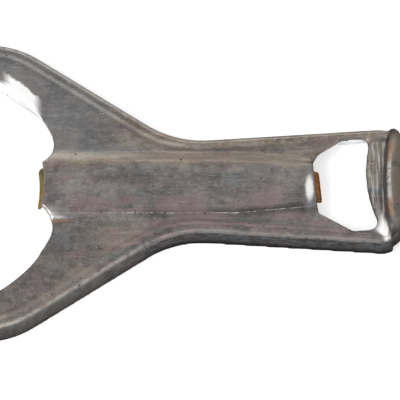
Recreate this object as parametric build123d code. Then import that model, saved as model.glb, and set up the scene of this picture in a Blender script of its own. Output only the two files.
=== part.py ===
"""Hand lifter for vacuum jar lids and crown caps: a pressed steel handle shell over one hardened lip strip.

Millimetres, +Z up. While it is modelled, X runs from the lid jaw's centre towards the cap mouth, Y runs
across, and Z = 0 is the plane that the turned-down edges stand on. The finished pieces are moved together so
that the origin is the middle of the whole tool's footprint.
"""

from build123d import *
from math import asin, atan, atan2, cos, degrees, hypot, radians, sin, tan
import os

# ---- sheet and heights -------------------------------------------------------------------------------------
sheet = 1.2  # thickness of the shell's steel
flange_height = 6.5  # from the resting plane to the top of the edge bead
bead_rise = 0.9  # edge bead above the flat web
bead_width = 2.2  # along the handle
fork_bead_width = 2.9
bead_slope = 45.0  # degrees, where the bead falls to the web
rib_rise = 1.3  # central rib above the flat web
bend_radius = 2.4  # outside radius where the edges turn down

# ---- lid jaw -----------------------------------------------------------------------------------------------
jaw_radius = 36.0
throat_half = 19.5  # the turned-down jaw edge stops this far from the centre line
throat_ramp = 7.0  # and grows to its full depth over this much more

# ---- fork and handle, in plan ------------------------------------------------------------------------------
arm_tip_x = 3.5  # from the jaw's centre
arm_tip_width = 5.2
arm_tip_radius = 1.8
shoulder_swell = 1.5  # how much wider the fork is at its shoulders than at its tips, on each side
shoulder_to_throat = 13.5
shoulder_radius = 22.5
throat_to_neck = 28.2
neck_half = 13.2
neck_radius = 23.5
end_half = 17.35
end_corner_radius = 6.0

# ---- central rib -------------------------------------------------------------------------------------------
rib_base_half = 10.2
rib_top_half = 6.3
rib_narrowing = 20.0  # length over which it narrows before the cap mouth
rib_end_base_half = 7.0
rib_end_top_half = 5.3
rib_overhang = 4.8  # how far the rib runs into the jaw
rib_foot_gap = 0.2  # the slant of the rib's nose starts this far behind the jaw's edge
throat_corner_radius = 7.0  # in plan, where that slant meets the jaw's edge
rib_edge_radius = 0.9

# ---- crown cap mouth ---------------------------------------------------------------------------------------
throat_to_mouth = 63.3
mouth_length = 12.8
mouth_flare = 8.1  # length over which it widens from the rib's end
mouth_near_half = 7.1
mouth_knee = 1.6  # the flare of one side is bent outwards this far along
mouth_knee_half = 9.4
mouth_half = 13.1
mouth_turn = 5.0  # degrees that the mouth and its lip are turned from square
mouth_bulge_radius = 37.0
mouth_corner_radius = 2.2

# ---- rolled end --------------------------------------------------------------------------------------------
mouth_to_crest = 6.6
roll_rise = 2.5  # crest of the roll above the flat web
roll_radius = 2.2
roll_bow_radius = 75.0  # the crest is bowed towards the mouth
roll_ledge = 4.2  # flat web between the mouth and the foot of the roll's steep side
notch_length = 4.4  # corner reliefs that let the end turn down apart from the sides
notch_half = 12.6
notch_height = 2.4

# ---- lip strip ---------------------------------------------------------------------------------------------
strip_thickness = 1.3
strip_side_gap = 0.45  # how much narrower than the rib's flat top the strip is on each side
lip_bend_radius = 0.7  # inside radius of the lips' bends
jar_lip_drop = 2.2  # how far the lip in the jaw hangs below the strip
jar_lip_turn = 76.0  # degrees that it is bent down
cap_lip_drop = 0.6  # the lip in the cap mouth is a tongue that is only bent a little
cap_lip_turn = 25.0
jar_lip_inset = 0.9  # the strip starts to bend this far inside the rib's end at the jaw
cap_lip_inset = 0.3  # and this far inside it at the mouth
weld_count = 5
weld_end_gap = 6.0  # from the rib's flat ends to the first and last weld
weld_mark_radius = 1.6  # the welding electrode's dents in the strip's underside
weld_mark_depth = 0.15

# ---- worked out --------------------------------------------------------------------------------------------
web_top = flange_height - bead_rise
web_under = web_top - sheet
strip_top = web_under + rib_rise
strip_under = strip_top - strip_thickness
arm_tip_half = (jaw_radius ** 2 - arm_tip_x ** 2) ** 0.5 + arm_tip_width
arm_tip_rounding = min(arm_tip_radius, 0.45 * arm_tip_width)  # the tips' corners never meet
shoulder_x = jaw_radius - shoulder_to_throat
shoulder_half = arm_tip_half + shoulder_swell
neck_x = jaw_radius + throat_to_neck
rib_slope = atan(rib_rise / (rib_base_half - rib_top_half))
rib_start_radius = jaw_radius - rib_overhang
mouth_near_x = jaw_radius + throat_to_mouth
mouth_far_x = mouth_near_x + mouth_length
rib_narrows_x = mouth_near_x - rib_narrowing
rib_end_x = mouth_near_x + rib_end_base_half * tan(radians(mouth_turn)) + sheet / 2  # the mouth trims it
mouth_centre_x = mouth_near_x + mouth_length / 2
roll_crest_x = mouth_far_x + mouth_to_crest
roll_centre_z = web_top + roll_rise - roll_radius
roll_foot_x = mouth_far_x + roll_ledge
foot_to_centre = (roll_crest_x - roll_foot_x, roll_rise - roll_radius)
roll_slope = atan2(foot_to_centre[1], foot_to_centre[0]) + asin(roll_radius / hypot(*foot_to_centre))
nose_x = (rib_start_radius ** 2 - rib_top_half ** 2) ** 0.5  # where the slant of the rib's nose ends
nose_foot_x = (jaw_radius ** 2 - rib_base_half ** 2) ** 0.5 + rib_foot_gap  # and where it starts
bow_centre_x = roll_crest_x + roll_bow_radius
end_bow_radius = roll_bow_radius - roll_radius
handle_end_x = bow_centre_x - (end_bow_radius ** 2 - end_half ** 2) ** 0.5  # at the end's corners
beyond = 2 * bend_radius  # how far a cutting solid runs past what it cuts
tall = 3 * flange_height  # height of a solid that cuts right through
hair = 0.001  # how closely an edge or corner is matched to its place


def prism(points, height, lowest=0.0):
    """A solid with these plan corners, from lowest up to lowest + height."""
    return Pos(0, 0, lowest) * extrude(make_face(Polyline(*points, close=True)), amount=height)


def both_sides(solid):
    """The solid and its mirror image across the centre line."""
    return solid + mirror(solid, about=Plane.XZ)


def shifted(start, end, inset):
    """The line from start to end, moved by inset to its right-hand side."""
    length = hypot(end[0] - start[0], end[1] - start[1])
    across = ((end[1] - start[1]) / length * inset, (start[0] - end[0]) / length * inset)
    return [(x + across[0], y + across[1]) for x, y in (start, end)]


def crossing(line_a, line_b):
    """Where two lines meet."""
    (x1, y1), (x2, y2) = line_a
    (x3, y3), (x4, y4) = line_b
    det = (x1 - x2) * (y3 - y4) - (y1 - y2) * (x3 - x4)
    a, b = x1 * y2 - y1 * x2, x3 * y4 - y3 * x4
    return (a * (x3 - x4) - b * (x1 - x2)) / det, (a * (y3 - y4) - b * (y1 - y2)) / det


def sides(inset, left_x, fork_inset=None):
    """Both long sides of the Y closed by straight ends, moved inwards by inset, at the fork by fork_inset."""
    fork_inset = inset if fork_inset is None else fork_inset
    tip, shoulder = (arm_tip_x, arm_tip_half), (shoulder_x, shoulder_half)
    neck, end = (neck_x, neck_half), (handle_end_x, end_half)
    arm, diagonal = shifted(tip, shoulder, fork_inset), shifted(shoulder, neck, fork_inset)
    handle = shifted(neck, end, inset)
    left, right = [(left_x, 0), (left_x, 1)], [(handle_end_x, 0), (handle_end_x, 1)]
    lines = [left, arm, diagonal, handle, right]
    upper = [crossing(line, following) for line, following in zip(lines, lines[1:])]
    lower = [(x, -y) for x, y in reversed(upper)]
    face = make_face(Polyline(*upper, *lower, close=True))

    def corners_at(x):
        return [v for v in face.vertices() if abs(v.X - x) < hair]

    face = fillet(corners_at(upper[1][0]), shoulder_radius - fork_inset)
    return fillet(corners_at(upper[2][0]), neck_radius + inset)


def plan(inset):
    """The whole outline, moved inwards by inset: sides, jaw and bowed end."""
    face = sides(inset, arm_tip_x + inset) - Circle(jaw_radius + inset)
    face -= Pos(bow_centre_x, 0) * Circle(end_bow_radius + inset)
    face = fillet([v for v in face.vertices() if v.X > roll_crest_x], end_corner_radius - inset)
    if arm_tip_rounding > inset:
        tips = [v for v in face.vertices() if v.X < arm_tip_x + inset + arm_tip_radius / 2]
        face = fillet(tips, arm_tip_rounding - inset)
    return face


def pressed_block(inset, lowest):
    """The tray that the edges and the web make, as a solid: outside at inset 0, hollow one sheet in."""
    top = flange_height - inset
    block = extrude(plan(inset), amount=top - lowest)
    block = Pos(0, 0, lowest) * fillet(block.faces().sort_by(Axis.Z)[-1].edges(), bend_radius - inset)
    flat = sides(bead_width, arm_tip_x - beyond, fork_bead_width)
    panel = extrude(flat, amount=-bead_rise, taper=bead_slope)
    return block - Pos(0, 0, top) * panel


def throat_web():
    """Plan of the flat web's edge at the throat."""
    ring = Circle(jaw_radius + bend_radius) - Circle(jaw_radius)
    return ring & Pos(jaw_radius, 0) * Rectangle(jaw_radius, 2 * throat_half)


def throat_plan():
    """Plan of the web's edge at the throat with the rib's nose on it, rounded where they meet."""
    nose = make_face(Polyline((nose_x, rib_top_half), (nose_foot_x, rib_base_half),
                              (nose_foot_x, -rib_base_half), (nose_x, -rib_top_half), close=True))
    joined = throat_web() + nose
    corners = [v for v in joined.vertices() if abs(abs(v.Y) - rib_base_half) < rib_foot_gap]
    return fillet(corners, throat_corner_radius)


def rib(inset):
    """The raised rib as a solid: a flat top on sloping sides, narrowing towards the cap mouth."""
    side_shift = inset * tan(rib_slope / 2)
    top = web_top + rib_rise - inset
    root = bead_rise / 2  # the slopes run on this far below the web, into the metal

    def section(x, base_half, top_half):
        low_half = base_half + (base_half - top_half) * root / rib_rise - side_shift
        high_half = top_half - side_shift
        low = top - rib_rise - root
        points = [(-low_half, low), (low_half, low), (high_half, top), (-high_half, top)]
        across = Plane(origin=(x, 0, 0), x_dir=(0, 1, 0), z_dir=(1, 0, 0))
        return across * make_face(Polyline(*points, close=True))

    start_x = rib_start_radius - beyond
    body = extrude(section(start_x, rib_base_half, rib_top_half), amount=rib_narrows_x - start_x)
    body += loft([section(rib_narrows_x, rib_base_half, rib_top_half),
                  section(rib_end_x, rib_end_base_half, rib_end_top_half)], ruled=True)
    on_top = [edge for edge in body.edges() if edge.center().Z > top - hair]
    body = fillet([edge for edge in on_top if abs(edge.center().Y) > rib_end_top_half / 2], rib_edge_radius)
    body -= Cylinder(rib_start_radius, tall)
    behind = Pos(nose_foot_x + jaw_radius, 0) * Rectangle(2 * jaw_radius, 2 * throat_half)
    return body & extrude(throat_plan() + behind, amount=tall)


def roll(inset, lowest):
    """The rolled end as a solid: a steep side up from the web, a round crest and a drop, bowed in plan."""
    radius = roll_radius - inset
    slope_foot = (roll_foot_x + inset * tan(roll_slope / 2), web_top - inset)
    touch = (roll_crest_x - radius * sin(roll_slope), roll_centre_z + radius * cos(roll_slope))
    back = (roll_crest_x + radius, roll_centre_z)
    turn = (radians(90) - roll_slope) / 2
    over = (roll_crest_x + radius * sin(turn), roll_centre_z + radius * cos(turn))
    outline = Polyline(touch, slope_foot, (slope_foot[0], lowest), (back[0], lowest), back)
    profile = make_face(Wire([*outline.edges(), *ThreePointArc(back, over, touch).edges()]))
    axis = Axis((bow_centre_x, 0, 0), (0, 0, 1))
    swing = degrees(asin((end_half + beyond) / end_bow_radius))
    body = revolve((Plane.XZ * profile).rotate(axis, -swing), axis=axis, revolution_arc=2 * swing)
    return body & Pos(0, 0, lowest) * extrude(plan(inset), amount=tall)


def throat_relief():
    """Takes the turned-down edge away at the jaw's throat and lets it grow again along both arms."""
    full_half = throat_half + throat_ramp
    points = [(-full_half, -beyond), (full_half, -beyond), (full_half, 0), (throat_half, web_under),
              (-throat_half, web_under), (-full_half, 0)]
    across = Plane(origin=(0, 0, 0), x_dir=(0, 1, 0), z_dir=(1, 0, 0))
    wedge = extrude(across * make_face(Polyline(*points, close=True)), amount=jaw_radius + beyond)
    ring = Circle(jaw_radius + bend_radius) - Circle(jaw_radius - bend_radius)
    return wedge & Pos(0, 0, -beyond) * extrude(ring, amount=tall)


def throat_edge():
    """The flat web's square edge at the throat, where nothing turns down, rounded into the rib's nose."""
    round_corners = throat_plan() - Circle(rib_start_radius)
    return extrude(throat_web(), amount=web_top) + Pos(0, 0, web_under) * extrude(round_corners, amount=sheet)


def cap_mouth():
    """The hole that a crown cap's edge goes into, cut right through."""
    far_x = mouth_far_x + mouth_bulge_radius - (mouth_bulge_radius ** 2 - mouth_half ** 2) ** 0.5
    knee = (mouth_near_x + mouth_knee, mouth_knee_half)
    near_end, widest = (mouth_near_x, mouth_near_half), (mouth_near_x + mouth_flare, mouth_half)
    right_side = [(x, -y) for x, y in ((far_x + beyond, mouth_half), widest, near_end)]
    face = make_face(Polyline(near_end, knee, widest, (far_x + beyond, mouth_half), *right_side, close=True))
    face -= Pos(mouth_far_x + mouth_bulge_radius, 0) * Circle(mouth_bulge_radius)
    face = fillet([v for v in face.vertices() if v.X > mouth_near_x + mouth_flare / 2], mouth_corner_radius)
    hole = Pos(0, 0, -beyond) * extrude(face, amount=tall)
    return hole.rotate(Axis((mouth_centre_x, 0, 0), (0, 0, 1)), mouth_turn)


def corner_notches():
    """Reliefs at both end corners, between the sides' edges and the end's."""
    far_x = handle_end_x + beyond
    near_x = handle_end_x - notch_length
    points = [(near_x, notch_half), (far_x, notch_half), (far_x, end_half + beyond),
              (near_x, end_half + beyond)]
    return both_sides(prism(points, notch_height + beyond, -beyond))


def make_handle_shell():
    """The pressed shell: edges, web, rib and rolled end, with the jaw's throat and the cap mouth cut out."""
    outside = pressed_block(0, 0) + rib(0) + roll(0, 0) + throat_edge()
    hollow = pressed_block(sheet, -beyond) + rib(sheet) + roll(sheet, -beyond) + throat_relief()
    return outside - hollow - cap_mouth() - corner_notches()


def lip_profile(bend_x, along, turn, drop):
    """Side view of a lip that is bent down by turn degrees and reaches drop below the strip.

    along is 1 for a lip that faces +X and -1 for one that faces -X.
    """
    bend_centre = (bend_x, strip_under - lip_bend_radius)
    inner, outer = lip_bend_radius, lip_bend_radius + strip_thickness
    leg = (drop - lip_bend_radius * (1 - cos(radians(turn)))) / sin(radians(turn))

    def at(radius, angle, further=0.0):
        """A point round the bend, angle degrees after its start, then further along the leg."""
        a = radians(angle)
        return (bend_centre[0] + along * (radius * sin(a) + further * cos(a)),
                bend_centre[1] + radius * cos(a) - further * sin(a))

    start, middle = 0, turn / 2
    edges = [ThreePointArc(at(outer, start), at(outer, middle), at(outer, turn)),
             Polyline(at(outer, turn), at(outer, turn, leg), at(inner, turn, leg), at(inner, turn)),
             ThreePointArc(at(inner, turn), at(inner, middle), at(inner, start)),
             Line(at(inner, start), at(outer, start))]
    return make_face(Wire([e for part in edges for e in part.edges()]))


def make_lip_strip():
    """The hardened strip that is welded up under the rib, with a bent lip at each end."""
    turn = radians(mouth_turn)
    jaw_bend_radius = rib_start_radius + jar_lip_inset
    cap_bend_x = mouth_near_x - cap_lip_inset
    wide_half, narrow_half = rib_top_half - strip_side_gap, rib_end_top_half - strip_side_gap
    slant, reach = narrow_half * sin(turn), narrow_half * cos(turn)
    flat = prism([(0, wide_half), (rib_narrows_x, wide_half), (cap_bend_x - slant, reach),
                  (cap_bend_x + slant, -reach), (rib_narrows_x, -wide_half), (0, -wide_half)],
                 strip_thickness, strip_under)
    flat -= Cylinder(jaw_bend_radius, tall)
    swing = degrees(asin((wide_half + beyond) / jaw_bend_radius))
    jar_lip = Plane.XZ * lip_profile(jaw_bend_radius, -1, jar_lip_turn, jar_lip_drop)
    jar_lip = revolve(jar_lip.rotate(Axis.Z, -swing), axis=Axis.Z, revolution_arc=2 * swing)
    jar_lip &= Pos(jaw_radius / 2, 0) * Box(jaw_radius, 2 * wide_half, tall)
    cap_lip = extrude(Plane.XZ * lip_profile(cap_bend_x, 1, cap_lip_turn, cap_lip_drop),
                      amount=narrow_half, both=True)
    cap_lip = cap_lip.rotate(Axis((cap_bend_x, 0, 0), (0, 0, 1)), mouth_turn)
    strip = flat + jar_lip + cap_lip
    first_x, last_x = jaw_radius + weld_end_gap, mouth_near_x - weld_end_gap
    for n in range(weld_count):
        mark = Cylinder(weld_mark_radius, 2 * weld_mark_depth)
        strip -= Pos(first_x + n * (last_x - first_x) / (weld_count - 1), 0, strip_under) * mark
    return strip


def main():
    """Builds both pieces, moves them so that the origin is the middle of the footprint, and writes them."""
    pieces = {"handle_shell": make_handle_shell(), "lip_strip": make_lip_strip()}
    whole = Compound(children=[Compound(piece.solids()) for piece in pieces.values()]).bounding_box()
    home = Pos(-whole.center().X, -whole.center().Y, -whole.min.Z)
    os.makedirs("parts", exist_ok=True)
    for name, piece in pieces.items():
        export_step(home * piece, f"parts/{name}.step")
        print(name, len(piece.solids()), "solid,", round(piece.volume, 1), "mm3")
    print("the footprint's centre is", round(whole.center().X, 4), "mm from the jaw's centre")


if __name__ == "__main__":
    main()
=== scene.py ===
import math

import bmesh
import bpy
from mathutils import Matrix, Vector


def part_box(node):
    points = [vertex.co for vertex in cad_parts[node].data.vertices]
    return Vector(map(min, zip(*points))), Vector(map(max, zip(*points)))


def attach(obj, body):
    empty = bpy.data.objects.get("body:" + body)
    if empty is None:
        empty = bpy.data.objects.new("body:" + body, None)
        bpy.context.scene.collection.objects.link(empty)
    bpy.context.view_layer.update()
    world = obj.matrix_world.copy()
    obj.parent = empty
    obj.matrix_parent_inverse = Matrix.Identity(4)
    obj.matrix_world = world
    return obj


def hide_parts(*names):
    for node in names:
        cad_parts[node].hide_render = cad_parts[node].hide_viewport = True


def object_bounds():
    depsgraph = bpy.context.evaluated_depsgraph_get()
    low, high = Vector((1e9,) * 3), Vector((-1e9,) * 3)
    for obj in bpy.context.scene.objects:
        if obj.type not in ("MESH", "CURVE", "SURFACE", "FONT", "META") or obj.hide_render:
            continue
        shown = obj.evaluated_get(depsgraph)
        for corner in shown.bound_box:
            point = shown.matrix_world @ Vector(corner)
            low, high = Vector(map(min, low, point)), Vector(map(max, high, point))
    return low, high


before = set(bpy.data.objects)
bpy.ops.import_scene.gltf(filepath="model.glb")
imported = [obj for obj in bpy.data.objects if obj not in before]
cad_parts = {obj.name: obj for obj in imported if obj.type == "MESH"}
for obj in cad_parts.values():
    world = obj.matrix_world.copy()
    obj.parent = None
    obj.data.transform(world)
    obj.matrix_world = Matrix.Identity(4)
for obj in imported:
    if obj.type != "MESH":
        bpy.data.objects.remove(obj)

bl_info = {
    "name": "Jar lid and crown cap lifter",
    "version": (1, 0, 0),
    "blender": (4, 5, 0),
    "location": "View3D > Sidebar > Lifter",
    "description": "Dresses the two steel pieces of a hand lifter for vacuum jar lids and crown caps",
    "category": "Object",
}

MM = 0.001
CAD_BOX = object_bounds()
SHELL_LOW, SHELL_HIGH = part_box("handle_shell")
STRIP_LOW, STRIP_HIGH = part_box("lip_strip")
WEB_TOP = 5.6 * MM  # the flat web between the beads
BEAD_TOP = 6.5 * MM
RIB_TOP = 6.9 * MM
RIB_HALF = 9.6 * MM  # the rib's half width where its slopes end
JAW_CENTRE = Vector((SHELL_LOW.x - 3.5 * MM, 0.0, 0.0))
JAW_RADIUS = 36.0 * MM
ROLL_CREST = SHELL_HIGH.x - 2.95 * MM  # the roll's highest line where it crosses the middle
ROLL_BOW = 75.0 * MM  # the radius of that line in plan


# ---- settings ----------------------------------------------------------------------------------------------
def length(name, description, default):
    """A size in metres that the sidebar shows in the scene's unit."""
    return bpy.props.FloatProperty(name=name, description=description, default=default, min=0.0,
                                   precision=5, subtype="DISTANCE", unit="LENGTH")


def share(name, description, default):
    """A number from 0 to 1."""
    return bpy.props.FloatProperty(name=name, description=description, default=default, min=0.0, max=1.0,
                                   subtype="FACTOR")


def colour(name, description, default):
    """A linear colour."""
    return bpy.props.FloatVectorProperty(name=name, description=description, default=default, size=3,
                                         min=0.0, max=1.0, subtype="COLOR")


class PressingSettings(bpy.types.PropertyGroup):
    """How the pressed sheet differs from its drawing."""
    grain: length("Mesh size", "Side of the squares that the pieces are meshed with", 0.38 * MM)
    strip_grain: length("Strip mesh size", "The same for the lip strip", 0.2 * MM)
    easing: bpy.props.IntProperty(name="Easing", description="Steps that round the sheet's cut edges",
                                  default=3, min=0)
    form_easing: bpy.props.IntProperty(name="Form easing", description="Steps that round bead and rib",
                                       default=16, min=0)
    dent_depth: length("Dent depth", "Depth of the shallow dents from use", 0.16 * MM)
    dent_size: length("Dent size", "Width of a dent", 14 * MM)
    sag_depth: length("Rib sag", "How far the rib's end at the cap mouth is pressed down", 0.45 * MM)
    sag_length: length("Rib sag length", "Length of the rib that is pressed down", 2.4 * MM)
    seed: bpy.props.IntProperty(name="Seed", description="Picks another set of dents", default=3, min=0)


class FinishSettings(bpy.types.PropertyGroup):
    """The colours of worn nickel plate and of the browned lips, and the painted highlights and shade laid on
    them.
    """
    nickel: colour("Nickel", "Worn nickel plate", (0.21, 0.19, 0.18))
    clouded: colour("Clouded nickel", "Plate that has gone cloudy", (0.12, 0.107, 0.104))
    # polish_and_highlight is plate rubbed lighter in streaks, specks and scratches, and also a painted
    # highlight on the bends and around the rib's end
    polish_and_highlight: colour("Polished nickel", "Plate rubbed bright by hands", (0.32, 0.30, 0.28))
    # bright is lighter plate laid as a painted highlight on the rib's nose, the bridge's streaks and the
    # inner faces
    bright: colour("Bright nickel", "Plate rubbed bright by lids and caps", (0.50, 0.49, 0.48))
    # clean is near-white plate laid as a painted highlight where curved plate would mirror the light
    clean: colour("Clean nickel", "Unworn plate that hands never reach", (0.90, 0.895, 0.89))
    pinkish: colour("Pinkish nickel", "Plate thinned over its copper", (0.20, 0.145, 0.15))
    bluish: colour("Bluish nickel", "Plate tarnished blue-grey", (0.14, 0.15, 0.155))
    tanned: colour("Tanned nickel", "Plate stained yellowish", (0.19, 0.155, 0.115))
    copper: colour("Copper", "Copper undercoat that shows where the plate is gone", (0.31, 0.16, 0.08))
    # grime_and_shade is dirt in pits and dark blotches, and also painted shade on the rib's slopes, the
    # roll's ends, the mouth's wall and under the shell
    grime_and_shade: colour("Grime", "Dark dirt in pits and corners", (0.028, 0.022, 0.018))
    # painted_shade darkens the outer flanks towards the bottom and dims the near handle's tops and bends
    painted_shade: colour("Soot", "Neutral dark dirt on the outer faces", (0.017, 0.017, 0.018))
    browned: colour("Browned steel", "The cap lip's copper-brown steel", (0.23, 0.09, 0.026))
    olive: colour("Olive steel", "The jar lip's olive-brown steel", (0.20, 0.165, 0.065))
    roughness: share("Roughness", "Roughness of the sound plate", 0.36)


class StageSettings(bpy.types.PropertyGroup):
    """Floor, light and camera."""
    floor: colour("Floor", "The floor's colour", (0.82, 0.82, 0.82))
    floor_size: length("Floor size", "Side of the floor", 6.0)
    aim: bpy.props.FloatVectorProperty(name="Aim", description="The point that the camera looks at",
                                       default=(SHELL_LOW.x + 66.8 * MM, -4.75 * MM, 6.5 * MM),
                                       subtype="TRANSLATION", unit="LENGTH")
    elevation: bpy.props.FloatProperty(name="Elevation", description="Camera's height above the horizon",
                                       default=math.radians(60), subtype="ANGLE", unit="ROTATION")
    distance: length("Distance", "Camera to the point it looks at", 1.2)
    width: length("Field width", "Width of the picture at the point it looks at", 100 * MM)


# ---- node trees --------------------------------------------------------------------------------------------
def add(tree, kind, settings=None, values=None, output=0):
    """Adds a node, sets it up, fills or links its sockets, and gives one of its outputs as a Signal."""
    node = tree.nodes.new(kind)
    for name, value in (settings or {}).items():
        setattr(node, name, value)
    in_use = [socket for socket in node.inputs if socket.enabled]
    for key, value in (values or {}).items():
        socket = in_use[key] if isinstance(key, int) else [s for s in in_use if s.name == key][0]
        if isinstance(value, Signal):
            tree.links.new(value.socket, socket)
        elif socket.type == "RGBA":
            socket.default_value = (*value, 1.0)
        else:
            socket.default_value = value
    offered = [socket for socket in node.outputs if socket.enabled]
    return Signal(tree, offered[output]) if offered else None


class Signal:
    """A node's output that takes part in arithmetic: each operator adds its Math node."""

    def __init__(self, tree, socket):
        self.tree, self.socket = tree, socket

    def math(self, operation, *operands):
        return add(self.tree, "ShaderNodeMath", {"operation": operation}, dict(enumerate(operands)))

    def __add__(self, other):
        return self.math("ADD", self, other)

    def __sub__(self, other):
        return self.math("SUBTRACT", self, other)

    def __mul__(self, other):
        return self.math("MULTIPLY", self, other)

    def __truediv__(self, other):
        return self.math("DIVIDE", self, other)

    def __rsub__(self, other):
        return self.math("SUBTRACT", other, self)

    def __rtruediv__(self, other):
        return self.math("DIVIDE", other, self)

    def __abs__(self):
        return self.math("ABSOLUTE", self)

    __radd__, __rmul__ = __add__, __mul__

    def rising(self, start, end):
        """0 before start, 1 after end and smooth between them; it falls if end is below start."""
        low, high, at_low, at_high = (start, end, 0.0, 1.0) if start < end else (end, start, 1.0, 0.0)
        return add(self.tree, "ShaderNodeMapRange", {"interpolation_type": "SMOOTHSTEP"}, {
            "Value": self, "From Min": low, "From Max": high, "To Min": at_low, "To Max": at_high})

    def between(self, start, end, soft):
        """1 from start to end, falling to 0 over soft on both sides."""
        return self.rising(start - soft, start) * self.rising(end + soft, end)


def blended(factor, first, second):
    """Two colours mixed by a factor."""
    return add(factor.tree, "ShaderNodeMix", {"data_type": "RGBA"},
               {"Factor": factor, "A": first, "B": second})


def components(tree, vector):
    """The three numbers of a vector."""
    return [add(tree, "ShaderNodeSeparateXYZ", values={"Vector": vector}, output=n) for n in range(3)]


# ---- pressed shape -----------------------------------------------------------------------------------------
SHEET_INPUTS = {"Easing": "NodeSocketInt", "Form easing": "NodeSocketInt", "Dent depth": "NodeSocketFloat",
                "Dent size": "NodeSocketFloat", "Sag start": "NodeSocketFloat",
                "Sag depth": "NodeSocketFloat", "Sag length": "NodeSocketFloat",
                "Sag half width": "NodeSocketFloat", "Seed": "NodeSocketFloat",
                "Finish": "NodeSocketMaterial"}
CREST_STEPS, EDGE_STEPS = 14, 8  # how wide a surrounding a point is compared with, in blur steps
FLAT_STANDS, EDGE_STANDS = 0.06, 0.12  # millimetres that a flat place and a cut edge stand out by
DENTS_START, DENTS_FULL = 0.4 * MM, 2.5 * MM  # the heights between which dents grow to their depth
SAG_FULL, SAG_HOLDS, SAG_END = 1.6, 2.3, 2.4  # where the sag is full and where it stops, in its lengths
SAG_INSIDE, SAG_OUTSIDE = 0.85, 1.15  # where it fades at its sides, in its half widths
MERGE_DISTANCE = 0.002 * MM  # points of the CAD mesh that lie closer are one point


def blurred_position(tree, steps, weight=1.0):
    """Each point's place averaged with its neighbours', as far as its weight lets it."""
    place = add(tree, "GeometryNodeInputPosition")
    return add(tree, "GeometryNodeBlurAttribute", {"data_type": "FLOAT_VECTOR"},
               {"Value": place, "Iterations": steps, "Weight": weight})


def height_over_neighbours(tree, steps):
    """How far each point stands out of the surface around it, in millimetres; it is below 0 in a valley."""
    out = add(tree, "ShaderNodeVectorMath", {"operation": "SUBTRACT"}, {
        0: add(tree, "GeometryNodeInputPosition"), 1: blurred_position(tree, steps)})
    standing = add(tree, "ShaderNodeVectorMath", {"operation": "DOT_PRODUCT"}, {
        0: out, 1: add(tree, "GeometryNodeInputNormal")})
    return standing * (1.0 / MM)


def pressed_sheet_tree():
    """Eases the corners, dents the sheet, presses the rib's end down and marks how far points stand out."""
    tree = bpy.data.node_groups.new("pressed_sheet", "GeometryNodeTree")
    tree.interface.new_socket("Geometry", in_out="OUTPUT", socket_type="NodeSocketGeometry")
    tree.interface.new_socket("Geometry", in_out="INPUT", socket_type="NodeSocketGeometry")
    for name, kind in SHEET_INPUTS.items():
        tree.interface.new_socket(name, in_out="INPUT", socket_type=kind)
    group = tree.nodes.new("NodeGroupInput")
    given = {socket.name: Signal(tree, socket) for socket in group.outputs if socket.name}

    eased = add(tree, "GeometryNodeSetPosition", values={
        "Geometry": given["Geometry"], "Position": blurred_position(tree, given["Easing"])})
    away_from_edges = abs(height_over_neighbours(tree, EDGE_STEPS)).rising(EDGE_STANDS, FLAT_STANDS)
    eased = add(tree, "GeometryNodeSetPosition", values={
        "Geometry": eased, "Position": blurred_position(tree, given["Form easing"], away_from_edges)})

    place = add(tree, "GeometryNodeInputPosition")
    along, across, up = components(tree, place)
    dents = add(tree, "ShaderNodeTexNoise", {"noise_dimensions": "4D"}, {
        "Vector": place, "W": given["Seed"], "Scale": 1.0 / given["Dent size"], "Detail": 1.0})
    sunk = (along - given["Sag start"]) / given["Sag length"]
    beside = abs(across) / given["Sag half width"]
    sag = sunk.rising(0.0, SAG_FULL) * sunk.rising(SAG_END, SAG_HOLDS) * given["Sag depth"]
    sag *= beside.rising(SAG_OUTSIDE, SAG_INSIDE)
    lift = (dents - 0.5) * given["Dent depth"] * up.rising(DENTS_START, DENTS_FULL) - sag
    moved = add(tree, "GeometryNodeSetPosition", values={
        "Geometry": eased, "Offset": add(tree, "ShaderNodeCombineXYZ", values={"Z": lift})})

    marked = add(tree, "GeometryNodeStoreNamedAttribute", {"data_type": "FLOAT", "domain": "POINT"}, {
        "Geometry": moved, "Name": "crest", "Value": height_over_neighbours(tree, CREST_STEPS)})
    smooth = add(tree, "GeometryNodeSetShadeSmooth", values={"Geometry": marked, "Shade Smooth": True})
    whole = add(tree, "GeometryNodeRealizeInstances", values={"Geometry": smooth})
    finished = add(tree, "GeometryNodeSetMaterial", values={"Geometry": whole, "Material": given["Finish"]})
    add(tree, "NodeGroupOutput", values={"Geometry": finished})
    return tree


def merged_copy(node_name):
    """The CAD node's mesh as one connected surface."""
    mesh = bpy.data.meshes.new(node_name)
    shape = bmesh.new()
    shape.from_mesh(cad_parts[node_name].data)
    bmesh.ops.remove_doubles(shape, verts=shape.verts, dist=MERGE_DISTANCE)
    shape.to_mesh(mesh)
    shape.free()
    return mesh


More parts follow.
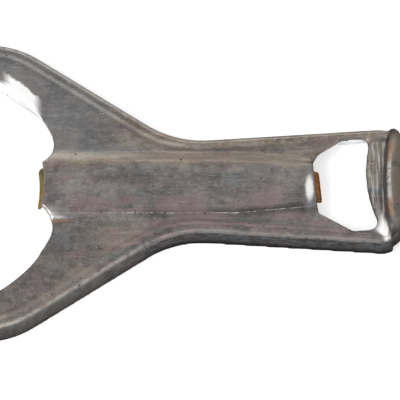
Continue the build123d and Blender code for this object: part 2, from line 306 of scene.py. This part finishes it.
def pressed_piece(name, node_name, grain, finish):
    """A piece meshed evenly from a CAD node, then shaped by the pressed sheet tree."""
    settings = bpy.context.scene.lifter_pressing
    piece = bpy.data.objects.new(name, merged_copy(node_name))
    bpy.context.scene.collection.objects.link(piece)
    even = piece.modifiers.new("Even mesh", "REMESH")
    even.mode, even.voxel_size = "VOXEL", grain
    shaper = piece.modifiers.new("Pressed sheet", "NODES")
    shaper.node_group = bpy.data.node_groups.get("pressed_sheet") or pressed_sheet_tree()
    finer = (settings.grain / grain) ** 2
    chosen = {"Easing": round(settings.easing * finer), "Form easing": round(settings.form_easing * finer),
              "Dent depth": settings.dent_depth, "Dent size": settings.dent_size,
              "Sag start": STRIP_HIGH.x - SAG_FULL * settings.sag_length, "Sag depth": settings.sag_depth,
              "Sag length": settings.sag_length, "Sag half width": STRIP_HIGH.y + MM,
              "Seed": float(settings.seed), "Finish": finish}
    for item in shaper.node_group.interface.items_tree:
        if item.name in chosen:
            shaper[item.identifier] = chosen[item.name]
    evaluated = piece.evaluated_get(bpy.context.evaluated_depsgraph_get())
    shaped = bpy.data.meshes.new_from_object(evaluated)
    piece.modifiers.clear()
    piece.data = shaped
    shaped.name = name
    return piece


# ---- finishes ----------------------------------------------------------------------------------------------
EDGE_SHEEN = (0.45, 0.45, 0.45)  # how much worn plate still mirrors at a grazing angle
SCRATCH_STRETCH = 0.09  # a scratch's width over its length
SCRATCH_SOFTNESS = 0.05  # how gently the noise that makes a scratch fades at its sides
STRIP_ROUGHNESS = 0.22  # the browned steel's least roughness
FORK_END = 24.0  # millimetres from the jar lip to where the fork has become the handle
ROLL_FOOT = 6.0  # millimetres from the tool's end to where the roll rises from the web
BRIDGE_START = 10.5  # millimetres from the cap lip to the web between mouth and roll


def new_material(name):
    """An empty node material with its tree."""
    material = bpy.data.materials.new(name)
    material.use_nodes = True
    material.node_tree.nodes.clear()
    return material, material.node_tree


def millimetres(tree, turn=0.0, stretch=(1.0, 1.0, 1.0)):
    """Object coordinates in millimetres, turned about Z and stretched."""
    place = add(tree, "ShaderNodeTexCoord", output=3)
    return add(tree, "ShaderNodeMapping", {"vector_type": "POINT"}, {
        "Vector": place, "Rotation": (0.0, 0.0, turn), "Scale": [side / MM for side in stretch]})


def noise(tree, where, size, detail=2.0, roughness=0.5):
    """Soft noise with features about size millimetres wide."""
    return add(tree, "ShaderNodeTexNoise", values={
        "Vector": where, "Scale": 1.0 / size, "Detail": detail, "Roughness": roughness})


def scratches(tree, turn, fineness, amount):
    """Thin straight scratches that run at one angle; a higher amount leaves fewer of them."""
    where = millimetres(tree, turn, (SCRATCH_STRETCH, 1.0, 1.0))
    return noise(tree, where, fineness, 1.0).rising(amount, amount + SCRATCH_SOFTNESS)


def crest_of(tree):
    """How far the shaped surface stands out there, in millimetres; it is below 0 in a valley."""
    return add(tree, "ShaderNodeAttribute", {"attribute_name": "crest"}, output=2)


def steel_surface(tree, base, rough, height, strength):
    """The metal shader with its bumps, which are height millimetres high, and its output."""
    bump = add(tree, "ShaderNodeBump", values={"Height": height, "Strength": strength, "Distance": MM})
    shader = add(tree, "ShaderNodeBsdfPrincipled", values={
        "Base Color": base, "Roughness": rough, "Metallic": 1.0, "Specular Tint": EDGE_SHEEN,
        "Normal": bump})
    add(tree, "ShaderNodeOutputMaterial", values={"Surface": shader})


class Coat:
    """A base colour that is built up in layers."""

    def __init__(self, ground):
        self.colour = ground

    def lay(self, shade, strength, *masks):
        """Lays a shade over the colour. It covers by strength, from 0 to 1, times all the masks."""
        cover = masks[0]
        for mask in masks[1:]:
            cover = cover * mask
        self.colour = blended(cover * strength, self.colour, shade)


class ShellPlaces:
    """Where a point of the shell lies, in millimetres, with masks of the shell's faces and parts.

    What starts with past_ is a distance beyond a line, as seen from inside the jaw, and is below 0 before it.
    A mask is 1 on its part and 0 elsewhere.
    """

    def __init__(self, tree):
        self.where = millimetres(tree)
        self.x, self.y, self.z = components(tree, self.where)
        self.crest = crest_of(tree)
        self.past_tips = self.x - SHELL_LOW.x / MM
        self.past_jar_lip = self.x - STRIP_LOW.x / MM
        self.past_cap_lip = self.x - STRIP_HIGH.x / MM
        self.past_crest = self.x - self.y * self.y * (0.5 * MM / ROLL_BOW) - ROLL_CREST / MM
        in_plan = add(tree, "ShaderNodeCombineXYZ", values={"X": self.x, "Y": self.y})
        from_jaw_centre = add(tree, "ShaderNodeVectorMath", {"operation": "DISTANCE"}, {
            0: in_plan, 1: tuple(JAW_CENTRE / MM)})
        self.past_jaw_edge = from_jaw_centre - JAW_RADIUS / MM
        self.find_faces(tree)
        self.find_parts()

    def find_faces(self, tree):
        """Masks of the ways that a face looks: up, down, out of the tool, or into jaw and mouth."""
        nx, self.ny, self.nz = components(tree, add(tree, "ShaderNodeNewGeometry", output=1))
        self.outward = self.ny * self.y.math("SIGN", self.y)
        self.towards_middle = self.outward.rising(-0.2, -0.5)
        self.top = self.nz.rising(0.5, 0.7)
        self.under = self.nz.rising(-0.5, -0.8)
        into_jaw = self.past_jar_lip.rising(8.0, 0.0) * nx.rising(-0.15, -0.4)
        inwards = 1.0 - (1.0 - self.towards_middle) * (1.0 - into_jaw)
        on_tips = self.past_tips.rising(3.5, 2.0) * nx.rising(-0.45, -0.75)
        self.inner = inwards * self.nz.rising(0.6, 0.35) * (1.0 - self.under) * (1.0 - on_tips)
        self.outer = (1.0 - inwards) * self.nz.rising(0.9, 0.5) * (1.0 - self.under)

    def find_parts(self):
        """Masks of the near and far half, the rib, the beads, the arms, the handle and the roll."""
        web, rib_half, roll_foot = WEB_TOP / MM, RIB_HALF / MM, SHELL_HIGH.x / MM - ROLL_FOOT
        self.near, self.far = self.y.rising(1.0, -1.0), self.y.rising(-1.0, 1.0)
        before_mouth = self.past_cap_lip.rising(0.5, 0.0)
        self.on_rib = abs(self.y).rising(rib_half + 0.4, rib_half - 0.4) * before_mouth
        before_roll = self.x.rising(roll_foot, roll_foot - 1.0)
        self.on_bead = self.z.rising(web + 0.2, web + 0.6) * (1.0 - self.on_rib) * before_roll * self.top
        self.on_handle = self.past_jar_lip.rising(FORK_END - 2.0, FORK_END + 10.0)
        self.off_fork = self.past_jar_lip.rising(FORK_END / 4, FORK_END)
        self.beside_rib = (1.0 - self.on_rib) * self.past_jar_lip.rising(FORK_END / 2, FORK_END)
        self.on_near_arm = self.y.rising(-9.0, -12.0) * (1.0 - self.on_handle)
        self.on_roll = self.past_crest.rising(-2.6, -2.0)


class PlateNoise:
    """The noise that wear, stains, dirt and the painted light on the plate follow, each with its size, detail
    and roughness.
    """

    def __init__(self, tree, where):
        self.clouds = noise(tree, where, 9.0, 4.0, 0.6)
        self.highlight_patches = noise(tree, where, 3.0)
        self.mottle = noise(tree, where, 2.0, 4.0, 0.7)
        self.patchy = noise(tree, where, 1.6, 3.0, 0.6)
        self.specks = noise(tree, where, 0.6, 3.0, 0.75)
        self.tint = noise(tree, millimetres(tree, 0.3, (0.6, 1.3, 1.0)), 7.0, 2.0)
        self.bands = noise(tree, millimetres(tree, 0.0, (0.35, 1.6, 1.0)), 5.0, 2.0)
        self.scuffs = noise(tree, millimetres(tree, 0.0, (0.35, 0.6, 1.0)), 0.8, 4.0, 0.75)
        self.streaks = noise(tree, millimetres(tree, 0.02, (0.05, 1.0, 1.0)), 0.5, 4.0, 0.7)
        self.cross_streaks = noise(tree, millimetres(tree, 0.0, (1.0, 0.08, 1.0)), 0.5, 3.0, 0.6)
        spots = add(tree, "ShaderNodeTexVoronoi", values={"Vector": where, "Scale": 0.5})
        self.pits = spots.rising(0.2, 0.08) * noise(tree, where, 5.0).rising(0.55, 0.64)
        self.nicks = scratches(tree, 0.35, 0.3, 0.68) + scratches(tree, -0.6, 0.28, 0.7)
        self.nicks += scratches(tree, 1.2, 0.3, 0.72)


def lay_tarnish(coat, at, worn, look):
    """Pink, blue and tan stains, darker and lighter patches."""
    coat.lay(look.pinkish, 0.55, worn.tint.rising(0.54, 0.68))
    coat.lay(look.bluish, 0.6, worn.tint.rising(0.46, 0.34))
    far_slope = at.y.rising(3.5, 6.0) * at.on_rib
    coat.lay(look.tanned, 0.35, far_slope, worn.clouds.rising(0.35, 0.6) + 1.0)
    coat.lay(look.pinkish, 0.8, at.beside_rib, at.near, worn.bands.rising(0.44, 0.54))
    coat.lay(look.bluish, 0.8, at.beside_rib, at.near, worn.bands.rising(0.44, 0.34))
    coat.lay(look.tanned, 0.55, at.beside_rib, at.far, worn.bands.rising(0.42, 0.54))
    coat.lay(look.tanned, 0.4, at.on_bead, at.far)
    coat.lay(look.grime_and_shade, 0.35, at.on_bead, at.far, at.past_jar_lip.rising(FORK_END + 16.0, FORK_END - 4.0))
    coat.lay(look.polish_and_highlight, 0.35, worn.mottle.rising(0.5, 0.72))
    coat.lay(look.grime_and_shade, 0.35, worn.mottle.rising(0.48, 0.3))
    coat.lay(look.tanned, 0.5, at.on_near_arm, worn.clouds.rising(0.35, 0.6))
    coat.lay(look.polish_and_highlight, 0.22, at.off_fork, worn.bands.rising(0.52, 0.62))
    coat.lay(look.grime_and_shade, 0.14, at.off_fork, worn.bands.rising(0.48, 0.38))
    coat.lay(look.bluish, 0.5, at.past_jar_lip.rising(FORK_END + 2.0, 10.0), at.y.rising(8.0, 11.0))
    coat.lay(look.polish_and_highlight, 0.5, at.under)


def lay_scratches(coat, at, worn, look):
    """Streaks, specks and scratches all over, and darker colour in the valleys."""
    coat.lay(look.polish_and_highlight, 1.0, worn.streaks.rising(0.55, 0.8), at.off_fork * 0.2 + 0.15)
    coat.lay(look.grime_and_shade, 1.0, worn.streaks.rising(0.45, 0.25), at.off_fork * 0.22 + 0.1)
    coat.lay(look.polish_and_highlight, 0.45, worn.specks.rising(0.55, 0.75))
    coat.lay(look.grime_and_shade, 0.45, worn.specks.rising(0.42, 0.3))
    coat.lay(look.polish_and_highlight, 0.35, worn.nicks)
    # darker in the valleys, where the crest attribute is below 0
    coat.lay(look.grime_and_shade, 0.35, at.crest.rising(-0.03, -0.08), at.top)


def lay_rib_stain_and_light(coat, at, worn, look):
    """Painted shade on both slopes, a painted highlight line with a painted dark line above it on the near
    slope, and a pink stain on the near side.
    """
    middle_part = at.past_jar_lip.rising(8.0, 30.0) * at.past_cap_lip.rising(-1.0, -8.0)
    on_slopes = at.on_rib * at.top * at.nz.rising(0.985, 0.96) * middle_part
    # painted shade: the rib's slopes darkened by the way they face
    coat.lay(look.grime_and_shade, 0.36, on_slopes, at.near)
    coat.lay(look.grime_and_shade, 0.42, on_slopes, at.far)

    slope_middle = (WEB_TOP + RIB_TOP) / 2 / MM
    height = at.z + (worn.streaks - 0.5) * 0.12 - slope_middle
    near_slope = at.near * at.on_rib * at.top
    # painted shade: a dark line high on the near slope
    coat.lay(look.grime_and_shade, 0.3, near_slope, height.between(0.1, 0.2, 0.06))
    # painted highlight: a broken light line lower on the near slope
    highlight_part = at.past_jar_lip.rising(14.0, FORK_END) * at.past_cap_lip.rising(-1.0, -5.0)
    highlight_line = highlight_part * height.between(-0.02, 0.01, 0.03)
    coat.lay(look.clean, 0.5, near_slope, highlight_line, worn.patchy.rising(0.42, 0.62))
    pink_side = at.y.rising(-1.0, -4.5) * at.off_fork * at.on_rib * at.top
    coat.lay(look.pinkish, 0.6, pink_side, worn.bands.rising(0.46, 0.56))


def lay_edge_wear_and_light(coat, at, worn, look):
    """The bends over the flanks, rubbed and lit with a painted highlight on the arms and darkened with
    painted shade on the handle; the flanks, darkened towards the bottom as painted shade, with blue-grey
    scuffs and a painted highlight on the near handle's lower bend.
    """
    bend = at.outward.rising(0.25, 0.45) * at.nz.rising(0.5, 0.7)
    # rubbed plate on the arms' bends, lightened further as a painted highlight
    coat.lay(look.polish_and_highlight, 0.8, bend, worn.patchy.rising(0.3, 0.55), 1.0 - at.on_handle)
    # painted shade that dims the near handle's tops, bends and bead
    near_handle = at.near * at.on_handle
    coat.lay(look.painted_shade, 0.45, near_handle, at.beside_rib, at.ny.rising(0.06, 0.25), at.top)
    near_bend = near_handle * at.outward.rising(0.2, 0.35)
    coat.lay(look.painted_shade, 0.35, near_bend, at.nz.between(0.82, 0.93, 0.05))
    coat.lay(look.painted_shade, 0.3, near_handle, at.on_bead, at.nz.rising(0.94, 0.98))

    # painted shade: the outer flanks darken towards the bottom
    flank_shade = worn.mottle * 0.2 - at.on_near_arm * 0.2 + 0.66
    coat.lay(look.painted_shade, 1.0, at.outer, at.z.rising(BEAD_TOP / MM, 4.8), flank_shade)
    coat.lay(look.bluish, 0.5, at.outer, at.z.rising(0.6, 2.0), worn.scuffs.rising(0.44, 0.58))
    coat.lay(look.painted_shade, 1.0, at.outer, at.z.rising(3.0, 0.6), 0.9 - at.on_near_arm * 0.5)
    # painted highlight on the near handle's lower bend
    coat.lay(look.polish_and_highlight, 0.45, near_bend, at.nz.between(0.5, 0.66, 0.12), worn.patchy.rising(0.3, 0.5))


def lay_rolled_end_stains_and_light(coat, at, worn, look):
    """A stained roll, darker past its crest, with a painted highlight on its shoulder, bare copper and
    painted shade at its ends; painted reflections and dark streaks on the bridge; a painted highlight at the
    near corner.
    """
    coat.lay(look.tanned, 0.7, at.on_roll, at.past_crest.rising(-0.6, 0.2), worn.clouds.rising(0.4, 0.6))
    coat.lay(look.grime_and_shade, 0.3, at.on_roll, at.past_crest.rising(-0.6, 0.4))
    # painted highlight along the roll's shoulder
    shoulder = at.past_crest.between(-1.3, -0.9, 0.5) * abs(at.y).rising(12.0, 7.0) * at.top
    coat.lay(look.clean, 0.45, shoulder, worn.patchy.rising(0.3, 0.5))
    bare = at.past_crest.between(-1.5, -0.8, 0.4) * abs(at.y - 0.6).between(6.5, 9.5, 2.5) * at.top
    coat.lay(look.copper, 0.8, bare, worn.mottle.rising(0.36, 0.46))
    # painted shade at both ends of the roll
    coat.lay(look.grime_and_shade, 0.7, at.on_roll, abs(at.y).rising(11.5, 15.0))

    past_mouth = at.past_cap_lip.rising(BRIDGE_START, BRIDGE_START + 0.5)
    on_bridge = past_mouth * at.past_crest.rising(-1.9, -2.4) * abs(at.y).rising(13.0, 12.0) * at.top
    # painted reflections as light streaks across the bridge, with dark streaks between them
    coat.lay(look.bright, 0.6, on_bridge, worn.cross_streaks.rising(0.45, 0.7))
    coat.lay(look.grime_and_shade, 0.6, on_bridge, worn.cross_streaks.rising(0.42, 0.25))
    # painted highlight at the near corner between bridge and bead
    from_corner = abs(at.past_crest + 3.6) + abs(at.y + 12.6) * 0.45
    coat.lay(look.clean, 0.9, from_corner.rising(2.6, 0.6), at.top)


def lay_rib_end_light(coat, at, worn, look):
    """A painted highlight, an oval white spot with a blue rim, where the rib bends down to the cap mouth, and
    a painted shadow along its edge.
    """
    along = at.past_cap_lip + 3.7 + (worn.patchy - 0.5) * 0.8
    across = at.y + 1.4
    from_spot = along * along * 0.8 + across * across * 0.065
    on_rib_top = at.on_rib * at.top
    # painted highlight with a blue-grey rim and a near-white middle
    coat.lay(look.bluish, 0.5, on_rib_top, from_spot.rising(4.4, 1.4))
    coat.lay(look.polish_and_highlight, 0.35, on_rib_top, from_spot.rising(2.2, 0.6))
    coat.lay(look.clean, 0.8, on_rib_top, from_spot.rising(1.3, 0.1))
    # painted shadow along the rib's end
    coat.lay(look.grime_and_shade, 0.8, on_rib_top, at.past_cap_lip.rising(-2.2, -1.5), abs(at.y).rising(6.4, 5.0))


def lay_throat_copper_and_light(coat, at, worn, look):
    """A painted highlight on the rib's nose, a copper line and a painted highlight line at its near foot, and
    a painted highlight on the jaw's far rim.
    """
    # painted highlight on the rib's near nose
    nose = at.past_jar_lip.rising(8.0, 2.0) * at.on_rib * at.near * at.top
    below_top = at.z.rising(RIB_TOP / MM + 0.1, RIB_TOP / MM - 0.6)
    coat.lay(look.bright, 0.5, nose, below_top, worn.patchy.rising(0.3, 0.6))
    foot = at.past_jar_lip.rising(10.5, 6.5) * at.top
    past_foot = at.y + RIB_HALF / MM
    coat.lay(look.copper, 0.45, foot, past_foot.between(-0.9, -0.5, 0.35))
    # painted highlight line at the rib's near foot
    coat.lay(look.clean, 0.3, foot, past_foot.between(0.0, 0.4, 0.4), worn.patchy.rising(0.3, 0.6))
    # painted highlight on the jaw's far rim
    rim_width = (at.past_jaw_edge + (worn.mottle - 0.5) * 2.0).rising(3.4, 2.6)
    rim = rim_width * at.past_jar_lip.between(-6.5, -1.5, 3.0) * at.far
    coat.lay(look.clean, 0.95, rim, at.nz.rising(0.1, 0.3))


def lay_inner_faces(coat, at, worn, look):
    """Dirt in the pits, a painted highlight on the faces inside jaw and mouth, whitest on the far faces that
    face the middle, and painted shade on the mouth's far wall.
    """
    coat.lay(look.grime_and_shade, 0.7, worn.pits)
    # painted highlight on the inner faces, broken up by noise
    plate = blended(at.towards_middle * at.far, look.bright, look.clean)
    coat.lay(plate, 1.0, at.inner, worn.highlight_patches.rising(0.2, 0.4))
    # painted shade in a band on the mouth's far wall
    wall_shade = at.past_cap_lip.between(5.0, 9.5, 1.5) * at.far * at.z.rising(3.6, 4.3) * (1.0 - at.top)
    coat.lay(look.grime_and_shade, 0.85, at.inner, wall_shade)


def worn_nickel(look):
    """Old nickel plate: clouds, pits, streaks and scratches, with painted highlights on inner faces, edges
    and ends, and painted shade on the flanks and slopes.
    """
    material, tree = new_material("worn_nickel")
    at = ShellPlaces(tree)
    worn = PlateNoise(tree, at.where)
    coat = Coat(blended(worn.clouds.rising(0.38, 0.62), look.clouded, look.nickel))
    for lay_part in (lay_tarnish, lay_scratches, lay_rib_stain_and_light, lay_edge_wear_and_light, lay_rolled_end_stains_and_light,
                     lay_rib_end_light, lay_throat_copper_and_light, lay_inner_faces):
        lay_part(coat, at, worn, look)
    uneven = worn.clouds * 0.16 + worn.specks * 0.2 + worn.mottle * 0.12 + worn.pits * 0.25
    rough = uneven - at.inner * 0.12 + (look.roughness - 0.2)
    raised = worn.specks * 0.035 + worn.streaks * 0.012 + worn.mottle * 0.04
    height = raised - worn.pits * 0.1 - worn.nicks * 0.02
    steel_surface(tree, coat.colour, rough, height, strength=0.7)
    return material


def browned_steel(look):
    """Hardened strip steel: olive at the jar lip, copper-brown at the cap lip and dull grey between them."""
    material, tree = new_material("browned_steel")
    where = millimetres(tree)
    x, y, z = components(tree, where)
    crest = crest_of(tree)
    clouds = noise(tree, where, 2.5, 4.0, 0.6)
    specks = noise(tree, where, 0.5, 3.0, 0.6)
    patchy = noise(tree, where, 1.2, 3.0, 0.6)
    jar_lip = x.rising(STRIP_LOW.x / MM + 8.0, STRIP_LOW.x / MM + 5.0)
    cap_lip = x.rising(STRIP_HIGH.x / MM - 8.0, STRIP_HIGH.x / MM - 5.0)

    coat = Coat(blended(jar_lip, look.clouded, look.olive))
    coat.lay(look.copper, 0.6, jar_lip, y.rising(-0.5, -2.5))
    coat.lay(look.browned, 1.0, cap_lip)
    coat.lay(look.copper, 0.6, patchy.rising(0.52, 0.64))
    coat.lay(look.grime_and_shade, 0.6, clouds.rising(0.5, 0.35))
    coat.lay(look.grime_and_shade, 0.4, specks.rising(0.55, 0.7))
    coat.lay(look.polish_and_highlight, 0.5, crest.rising(0.06, 0.16), patchy.rising(0.4, 0.55))
    # painted shadow where the strip goes under the shell's edge
    under_shell_shadow = z.rising(STRIP_HIGH.z / MM - 0.45, STRIP_HIGH.z / MM - 0.15)
    coat.lay(look.grime_and_shade, 0.8, under_shell_shadow)
    coat.lay(look.grime_and_shade, 0.5, jar_lip, crest.rising(0.10, 0.18))
    # painted shade at the sides of the cap lip's tongue
    tongue_sides = abs(y).rising(4.3, 4.8)
    coat.lay(look.grime_and_shade, 0.6, cap_lip, tongue_sides)
    rough = clouds * 0.2 + specks * 0.15 + STRIP_ROUGHNESS
    steel_surface(tree, coat.colour, rough, specks * 0.03 + clouds * 0.05, strength=0.6)
    return material


# ---- operators ---------------------------------------------------------------------------------------------
class LIFTER_OT_handle_shell(bpy.types.Operator):
    """Makes the pressed handle shell in worn nickel plate"""
    bl_idname = "lifter.handle_shell"
    bl_label = "Handle shell"

    def execute(self, context):
        scene = context.scene
        finish = worn_nickel(scene.lifter_finish)
        shell = pressed_piece("pressed_shell", "handle_shell", scene.lifter_pressing.grain, finish)
        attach(shell, "root")
        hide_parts("handle_shell")
        return {"FINISHED"}


class LIFTER_OT_lip_strip(bpy.types.Operator):
    """Makes the hardened strip with the two lips"""
    bl_idname = "lifter.lip_strip"
    bl_label = "Lip strip"

    def execute(self, context):
        scene = context.scene
        finish = browned_steel(scene.lifter_finish)
        strip = pressed_piece("browned_lip_strip", "lip_strip", scene.lifter_pressing.strip_grain, finish)
        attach(strip, "root")
        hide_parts("lip_strip")
        return {"FINISHED"}


# ---- stage -------------------------------------------------------------------------------------------------
BLACK, WHITE = (0.0, 0.0, 0.0), (1.0, 1.0, 1.0)
FLOOR_GLOW = (0.52, 0.52, 0.52)  # what the lit floor lacks to look white
ROOM_LIGHT = (0.45, 0.45, 0.45)  # what the world gives to lit surfaces
LAMPS = (  # name, direction from the object, distance, width, height and power
    ("key_box", (-0.6, -0.5, 0.9), 2.4, 1.0, 1.0, 26.0),
    ("near_strip", (0.35, -0.75, 0.75), 2.4, 1.8, 0.25, 8.0),
    ("back_box", (0.1, 1.0, 0.42), 2.0, 1.4, 0.7, 9.0),
)


def seen_directly(tree):
    """1 for rays from the camera, a mirror or a clear body, and 0 for the rays that light things."""
    ways = {name: add(tree, "ShaderNodeLightPath", output=output)
            for name, output in (("camera", 0), ("glossy", 3), ("clear", 6))}
    return add(tree, "ShaderNodeMath", {"operation": "ADD", "use_clamp": True},
               {0: ways["camera"] + ways["glossy"], 1: ways["clear"]})


def make_floor(settings, height):
    """A pale floor that looks white to the camera and keeps the shadow."""
    half = settings.floor_size / 2
    corners = [(x * half, y * half, height) for x, y in ((-1, -1), (1, -1), (1, 1), (-1, 1))]
    mesh = bpy.data.meshes.new("floor")
    mesh.from_pydata(corners, [], [(0, 1, 2, 3)])
    material, tree = new_material("pale_floor")
    shader = add(tree, "ShaderNodeBsdfPrincipled", values={
        "Base Color": tuple(settings.floor), "Roughness": 1.0, "Specular IOR Level": 0.0,
        "Emission Color": blended(seen_directly(tree), BLACK, FLOOR_GLOW), "Emission Strength": 1.0})
    add(tree, "ShaderNodeOutputMaterial", values={"Surface": shader})
    mesh.materials.append(material)
    floor = bpy.data.objects.new("floor", mesh)
    bpy.context.scene.collection.objects.link(floor)


def make_world():
    """White for the camera and for mirrors, and a softer grey for the light it gives."""
    world = bpy.data.worlds.new("studio")
    world.use_nodes = True
    tree = world.node_tree
    tree.nodes.clear()
    shade = blended(seen_directly(tree), ROOM_LIGHT, WHITE)
    background = add(tree, "ShaderNodeBackground", values={"Color": shade, "Strength": 1.0})
    add(tree, "ShaderNodeOutputWorld", values={"Surface": background})
    bpy.context.scene.world = world


def make_lamp(aim, name, direction, away, width, height, power):
    """A soft box that faces the object from a direction."""
    lamp = bpy.data.lights.new(name, "AREA")
    lamp.shape, lamp.size, lamp.size_y, lamp.energy = "RECTANGLE", width, height, power
    box = bpy.data.objects.new(name, lamp)
    towards = Vector(direction).normalized()
    box.location = Vector(aim) + towards * away
    box.rotation_euler = towards.to_track_quat("Z", "Y").to_euler()
    bpy.context.scene.collection.objects.link(box)


def make_camera(settings):
    """A long lens that looks down at the object from its near side."""
    camera = bpy.data.objects.new("camera", bpy.data.cameras.new("camera"))
    back = Vector((0.0, -math.cos(settings.elevation), math.sin(settings.elevation)))
    camera.location = Vector(settings.aim) + back * settings.distance
    camera.rotation_euler = back.to_track_quat("Z", "Y").to_euler()
    camera.data.lens = camera.data.sensor_width * settings.distance / settings.width
    bpy.context.scene.collection.objects.link(camera)
    bpy.context.scene.camera = camera


class LIFTER_OT_stage(bpy.types.Operator):
    """Makes the floor, the light and the camera"""
    bl_idname = "lifter.stage"
    bl_label = "Stage"

    def execute(self, context):
        settings = context.scene.lifter_stage
        make_floor(settings, CAD_BOX[0].z)
        make_world()
        for lamp in LAMPS:
            make_lamp(settings.aim, *lamp)
        make_camera(settings)
        context.scene.view_settings.view_transform = "Standard"
        return {"FINISHED"}


class LIFTER_PT_panel(bpy.types.Panel):
    """Lists the pieces in the order they are made"""
    bl_idname = "LIFTER_PT_panel"
    bl_label = "Lifter"
    bl_space_type = "VIEW_3D"
    bl_region_type = "UI"
    bl_category = "Lifter"

    def draw(self, context):
        scene = context.scene
        for group in (scene.lifter_pressing, scene.lifter_finish, scene.lifter_stage):
            box = self.layout.box()
            for name in group.bl_rna.properties.keys():
                if name not in ("rna_type", "name"):
                    box.prop(group, name)
        for operator in OPERATORS:
            self.layout.operator(operator.bl_idname)


OPERATORS = (LIFTER_OT_stage, LIFTER_OT_handle_shell, LIFTER_OT_lip_strip)
CLASSES = (PressingSettings, FinishSettings, StageSettings, *OPERATORS, LIFTER_PT_panel)


def register():
    for kind in CLASSES:
        bpy.utils.register_class(kind)
    bpy.types.Scene.lifter_pressing = bpy.props.PointerProperty(type=PressingSettings)
    bpy.types.Scene.lifter_finish = bpy.props.PointerProperty(type=FinishSettings)
    bpy.types.Scene.lifter_stage = bpy.props.PointerProperty(type=StageSettings)


def unregister():
    del bpy.types.Scene.lifter_stage
    del bpy.types.Scene.lifter_finish
    del bpy.types.Scene.lifter_pressing
    for kind in reversed(CLASSES):
        bpy.utils.unregister_class(kind)


def main():
    """Makes the whole scene."""
    register()
    bpy.ops.lifter.stage()
    bpy.ops.lifter.handle_shell()
    bpy.ops.lifter.lip_strip()


if __name__ == "__main__":
    main()
